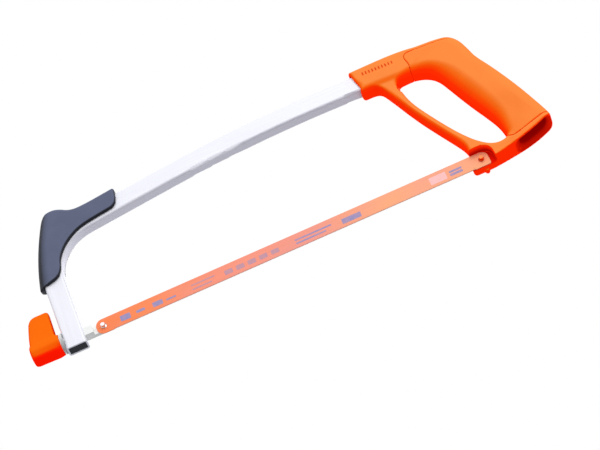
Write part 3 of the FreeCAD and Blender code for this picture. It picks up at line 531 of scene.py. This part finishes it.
def silver_lacquer():
    """Satin silver lacquer with a faint drawn grain along the tube, and painted shade where it turns from the
    light.
    """
    shader = Shader("silver_lacquer")
    along_beam = shader.noise(900, 3, (0.03, 1, 1))
    along_leg = shader.noise(900, 3, (1, 1, 0.03))
    where = shader.add("SeparateXYZ", {0: shader.place}).outputs["X"]
    leg_end = -0.163
    beam = shader.maths("GREATER_THAN", where, leg_end)
    grain = shader.mix(beam, along_leg, along_beam)
    # Painted shade: a little darker and bluer where the tube turns from the light.
    tone = shader.ramp(shader.lit(), (0.3, linear(238, 238, 252)), (0.85, linear(242, 242, 249)))
    colour = shader.mix(1.0, tone, shader.ramp(grain, (0.3, 0.94), (0.7, 1.0)), "MULTIPLY")
    worn = shader.maths("MULTIPLY", shader.edges(0.0008), shader.noise(700, 3))
    shader.set(Base_Color=shader.mix(worn, colour, linear(205, 206, 212)))
    shader.set(Metallic=0.15, Roughness=shader.ramp(grain, (0.3, 0.36), (0.7, 0.46)))
    shader.bump(grain, 0.00002, 0.4)
    return shader.material


def plain_plastic(name, colour, shade, roughness, grain, depth, sheen=0.0):
    """Moulded plastic or rubber, darker where it turns from the light, scuffed along its edges."""
    shader = Shader(name)
    cloud = shader.ramp(shader.noise(90, 3), (0.3, 0.9), (0.7, 1.0))
    body = shader.mix(1.0, shader.ramp(shader.lit(), (0.81, shade), (FACE_LIT, colour)), cloud, "MULTIPLY")
    scuffs = shader.maths("MULTIPLY", shader.edges(0.0006), shader.noise(900, 3))
    pale = tuple(min(1, value * 1.5 + 0.01) for value in colour[:3]) + (1,)
    shader.set(Base_Color=shader.mix(shader.maths("MULTIPLY", scuffs, 0.5), body, pale))
    gloss = shader.ramp(shader.noise(grain, 2), (0.3, roughness - 0.08), (0.7, roughness + 0.08))
    shader.set(Roughness=gloss)
    shader.set(Specular_IOR_Level=0.25, Sheen_Weight=sheen, Sheen_Roughness=0.5)
    shader.bump(shader.noise(grain, 3), depth)
    return shader.material


def metal(name, colour, roughness, polish, stretch=(0.05, 1, 1)):
    """Bare or plated metal with machining lines and brighter edges."""
    shader = Shader(name)
    lines = shader.noise(1600, 3, stretch)
    dark = tuple(value * 0.86 for value in colour[:3]) + (1,)
    tone = shader.ramp(lines, (0.3, dark), (0.7, colour))
    shader.set(Base_Color=shader.mix(shader.edges(0.0004), tone, (0.95, 0.95, 0.95, 1)))
    gloss = shader.ramp(lines, (0.3, roughness - 0.05), (0.7, roughness + 0.05))
    shader.set(Metallic=polish, Roughness=gloss)
    shader.bump(lines, 0.00002, 0.4)
    return shader.material


HALF_BLADE = 156 * MM
TOOTH_ROOT, TOOTH_TIP = -5.4 * MM, -6.4 * MM


def blade_paint(name, bare_teeth):
    """Thin salmon lacquer over rolled steel, warmer towards both ends and thin at the tooth tips."""
    shader = Shader(name)
    rolled = shader.noise(1100, 3, (0.04, 1, 1))
    cloud = shader.noise(35, 3, (0.4, 1, 1))
    where = shader.add("SeparateXYZ", {0: shader.place}).outputs
    along = shader.remap(where["X"], -HALF_BLADE, HALF_BLADE)
    colour = shader.ramp(along, (0.0, linear(255, 132, 74)), (0.13, linear(255, 142, 92)),
                         (0.3, linear(252, 150, 124)), (0.56, linear(246, 156, 138)),
                         (0.74, linear(255, 172, 124)), (1.0, linear(255, 172, 128)))
    colour = shader.mix(shader.ramp(cloud, (0.45, 0.0), (0.7, 0.4)), colour, linear(240, 158, 150))
    colour = shader.mix(1.0, colour, shader.ramp(rolled, (0.3, 0.93), (0.7, 1.0)), "MULTIPLY")
    if bare_teeth:
        bare = shader.remap(where["Z"], TOOTH_ROOT, TOOTH_TIP)
        colour = shader.mix(shader.maths("MULTIPLY", bare, 0.5), colour, linear(196, 140, 128))
    shader.set(Base_Color=colour, Specular_IOR_Level=0.3, Specular_Tint=(1.0, 0.7, 0.5, 1))
    shader.set(Metallic=0.1, Roughness=shader.ramp(rolled, (0.3, 0.38), (0.7, 0.5)))
    shader.bump(rolled, 0.00002, 0.4)
    return shader.material


def printed_ink(name, colour, under):
    """Matt ink, thin enough for the lacquer to show through in places."""
    shader = Shader(name)
    thin = shader.ramp(shader.noise(260, 3), (0.35, 0.15), (0.65, 0.4))
    shader.set(Base_Color=shader.mix(thin, colour, under), Specular_IOR_Level=0.2)
    shader.set(Roughness=shader.ramp(shader.noise(600, 2), (0.3, 0.45), (0.7, 0.6)))
    shader.bump(shader.noise(1500, 2), 0.00002)
    return shader.material


def dress(node, material):
    """Give a CAD node its finish."""
    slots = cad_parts[node].data.materials
    slots.clear()
    slots.append(material)


# ---------------------------------------------------------------- stage

def add_floor(height):
    """Pale floor that is seen from above only and fades into the background."""
    mesh = bpy.data.meshes.new("floor")
    reach = 12
    corners = [(-reach, -reach), (reach, -reach), (reach, reach), (-reach, reach)]
    mesh.from_pydata([(x, y, height) for x, y in corners], [], [(0, 1, 2, 3)])
    shader = Shader("pale_floor")
    mesh.materials.append(shader.material)
    grain = shader.ramp(shader.noise(8, 3), (0.3, 0.84), (0.7, 0.87))
    shader.set(Base_Color=grain, Roughness=0.7)
    distance = shader.add("VectorMath", {0: shader.place}, operation="LENGTH").outputs["Value"]
    far = shader.remap(distance, 0.5, 1.8)
    white = shader.add("Emission", {"Strength": 1.0})
    near = shader.add("MixShader", {0: far, 1: shader.surface.outputs[0], 2: white.outputs[0]})
    back = shader.add("NewGeometry").outputs["Backfacing"]
    clear = shader.add("BsdfTransparent")
    both = shader.add("MixShader", {0: back, 1: near.outputs[0], 2: clear.outputs[0]})
    shader.tree.links.new(both.outputs[0], shader.tree.nodes["Material Output"].inputs["Surface"])
    floor = bpy.data.objects.new("floor", mesh)
    bpy.context.scene.collection.objects.link(floor)
    floor.visible_diffuse = floor.visible_glossy = floor.visible_shadow = False


def set_world():
    """White backdrop. The light it gives is strongest beside and above the saw and weakest below it."""
    world = bpy.data.worlds.new("studio")
    world.use_nodes = True
    bpy.context.scene.world = world
    tree = world.node_tree
    light = tree.nodes["Background"]
    light.inputs["Color"].default_value = (0.97, 0.98, 1, 1)
    way = tree.nodes.new("ShaderNodeTexCoord")
    folded = tree.nodes.new("ShaderNodeVectorMath")
    folded.operation = "ABSOLUTE"
    parts = tree.nodes.new("ShaderNodeSeparateXYZ")
    sides = tree.nodes.new("ShaderNodeSeparateXYZ")
    joined = tree.nodes.new("ShaderNodeCombineXYZ")
    dot = tree.nodes.new("ShaderNodeVectorMath")
    dot.operation = "DOT_PRODUCT"
    dot.inputs[1].default_value = (NEAR_LIGHT[0], -NEAR_LIGHT[1], NEAR_LIGHT[2])
    fall = tree.nodes.new("ShaderNodeMapRange")
    for name, value in (("From Min", -1), ("From Max", 1), ("To Min", -0.2), ("To Max", 1.26)):
        fall.inputs[name].default_value = value
    seen = tree.nodes.new("ShaderNodeBackground")
    seen.inputs["Color"].default_value = (1, 1, 1, 1)
    path = tree.nodes.new("ShaderNodeLightPath")
    choose = tree.nodes.new("ShaderNodeMixShader")
    for start, end in (
        (way.outputs["Generated"], folded.inputs[0]),
        (way.outputs["Generated"], parts.inputs[0]),
        (folded.outputs[0], sides.inputs[0]),
        (parts.outputs["X"], joined.inputs["X"]),
        (sides.outputs["Y"], joined.inputs["Y"]),
        (parts.outputs["Z"], joined.inputs["Z"]),
        (joined.outputs[0], dot.inputs[0]),
        (dot.outputs["Value"], fall.inputs["Value"]),
        (fall.outputs[0], light.inputs["Strength"]),
        (path.outputs["Is Camera Ray"], choose.inputs[0]),
        (light.outputs[0], choose.inputs[1]),
        (seen.outputs[0], choose.inputs[2]),
        (choose.outputs[0], tree.nodes["World Output"].inputs["Surface"]),
    ):
        tree.links.new(start, end)


def add_light(name, direction, distance, size, power):
    """Square area light that faces the origin."""
    lamp = bpy.data.lights.new(name, "AREA")
    lamp.size = size
    lamp.energy = power
    light = bpy.data.objects.new(name, lamp)
    light.location = Vector(direction).normalized() * distance
    light.rotation_mode = "QUATERNION"
    light.rotation_quaternion = light.location.to_track_quat("Z", "Y")
    bpy.context.scene.collection.objects.link(light)


def add_camera():
    """Long lens from in front and below, rolled so that the blade climbs to the right."""
    target = Vector((0.01012, 0, 0.01262))
    elevation = math.radians(-38.5)
    roll = math.radians(23.8)
    distance = 2.1
    back = Vector((0, -math.cos(elevation), math.sin(elevation)))
    level = Vector((1, 0, 0))
    upright = back.cross(level)
    right = level * math.cos(roll) - upright * math.sin(roll)
    up = level * math.sin(roll) + upright * math.cos(roll)
    lens = bpy.data.cameras.new("camera")
    lens.lens = 172.53
    lens.clip_start = 0.05
    camera = bpy.data.objects.new("camera", lens)
    turned = Matrix((right, up, back)).transposed().to_4x4()
    camera.matrix_world = Matrix.Translation(target + back * distance) @ turned
    bpy.context.scene.collection.objects.link(camera)
    bpy.context.scene.camera = camera


# The lit, mid and shade colours of the orange pieces are painted light and painted shade, and their glow is
# painted light.
casting_paint = orange(
    "handle_paint", lit=linear(255, 144, 68), mid=linear(255, 116, 28), shade=linear(244, 18, 1),
    grain=1400, depth=0.00003, turn=1.25)
sleeve_rubber = orange(
    "grip_rubber", lit=linear(255, 142, 66), mid=linear(255, 114, 26), shade=linear(246, 18, 1),
    grain=1800, depth=0.00005, turn=1.25)
knob_plastic = orange(
    "knob_plastic", lit=linear(253, 112, 16), mid=linear(254, 100, 8), shade=linear(242, 18, 1),
    grain=1500, depth=0.00004, turn=1.5, open_glow=KNOB_GLOW)
pin_paint = orange(
    "pin_paint", lit=linear(255, 158, 96), mid=linear(255, 110, 50), shade=linear(120, 4, 0),
    grain=1400, depth=0.00003)
# Painted shade of the raised socket marks: the whole orange is painted darker.
relief_shade = orange(
    "relief_shade", lit=linear(222, 82, 30), mid=linear(214, 70, 20), shade=linear(180, 10, 0),
    grain=1400, depth=0.00003)
pad_rubber = plain_plastic(
    "pad_rubber", linear(91, 98, 124), shade=linear(22, 26, 37), roughness=0.55,
    grain=1600, depth=0.00005, sheen=0.04)
plug_nylon = plain_plastic(
    "plug_nylon", linear(40, 44, 52), shade=linear(34, 38, 46), roughness=0.5, grain=1500, depth=0.00004)
bush_nylon = plain_plastic(
    "bush_nylon", linear(226, 226, 224), shade=linear(196, 196, 196), roughness=0.45,
    grain=1500, depth=0.00003)
steel = metal("plated_steel", linear(244, 246, 243), roughness=0.34, polish=0.25)
bright_steel = metal("bright_steel", linear(252, 252, 252), roughness=0.14, polish=0.9)
dark_steel = metal("dark_screws", linear(120, 122, 128), roughness=0.35, polish=0.8, stretch=(1, 1, 1))
lacquer = linear(226, 160, 156)
blue_ink = printed_ink("blue_ink", linear(132, 142, 196), lacquer)
faint_ink = printed_ink("faint_ink", linear(190, 146, 166), lacquer)
pale_ink = printed_ink("pale_ink", linear(255, 198, 196), linear(250, 186, 176))

add_handle(casting_paint, sleeve_rubber)
add_corner_cover(pad_rubber)
add_knob(knob_plastic)
add_marks("blade_marks", BLUE_MARKS, BLADE_FACE, INK_PROUD, "blade", blue_ink)
add_marks("blade_faint_marks", FAINT_MARKS, BLADE_FACE, INK_PROUD, "blade", faint_ink)
add_marks("blade_pale_marks", PALE_MARKS, BLADE_FACE, INK_PROUD, "blade", pale_ink)
add_marks("socket_marks", SOCKET_MARKS, SOCKET_FACE, RIB_PROUD, "frame", relief_shade)
dress("frame_tube", silver_lacquer())
dress("leg_plug", plug_nylon)
dress("rod_bush", bush_nylon)
dress("thrust_washer", steel)
dress("tension_bar", steel)
dress("front_blade_pin", bright_steel)
dress("rear_blade_pin", pin_paint)
dress("socket_screws", dark_steel)
dress("knob_nut", steel)
dress("blade_back", blade_paint("blade_lacquer", bare_teeth=False))
dress("blade_edge", blade_paint("blade_teeth", bare_teeth=True))

low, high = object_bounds()
floor_gap = 0.0001
add_floor(low.z - floor_gap)
set_world()
add_light("key", direction=(0.45, -0.95, 0.62), distance=1.9, size=1.3, power=6)
add_light("top", direction=(-0.2, 0.15, 1), distance=1.8, size=1.2, power=2)
add_light("rim", direction=(0.2, 1, 0.6), distance=2.0, size=1.2, power=3)
add_camera()
bpy.context.scene.view_settings.view_transform = "Standard"
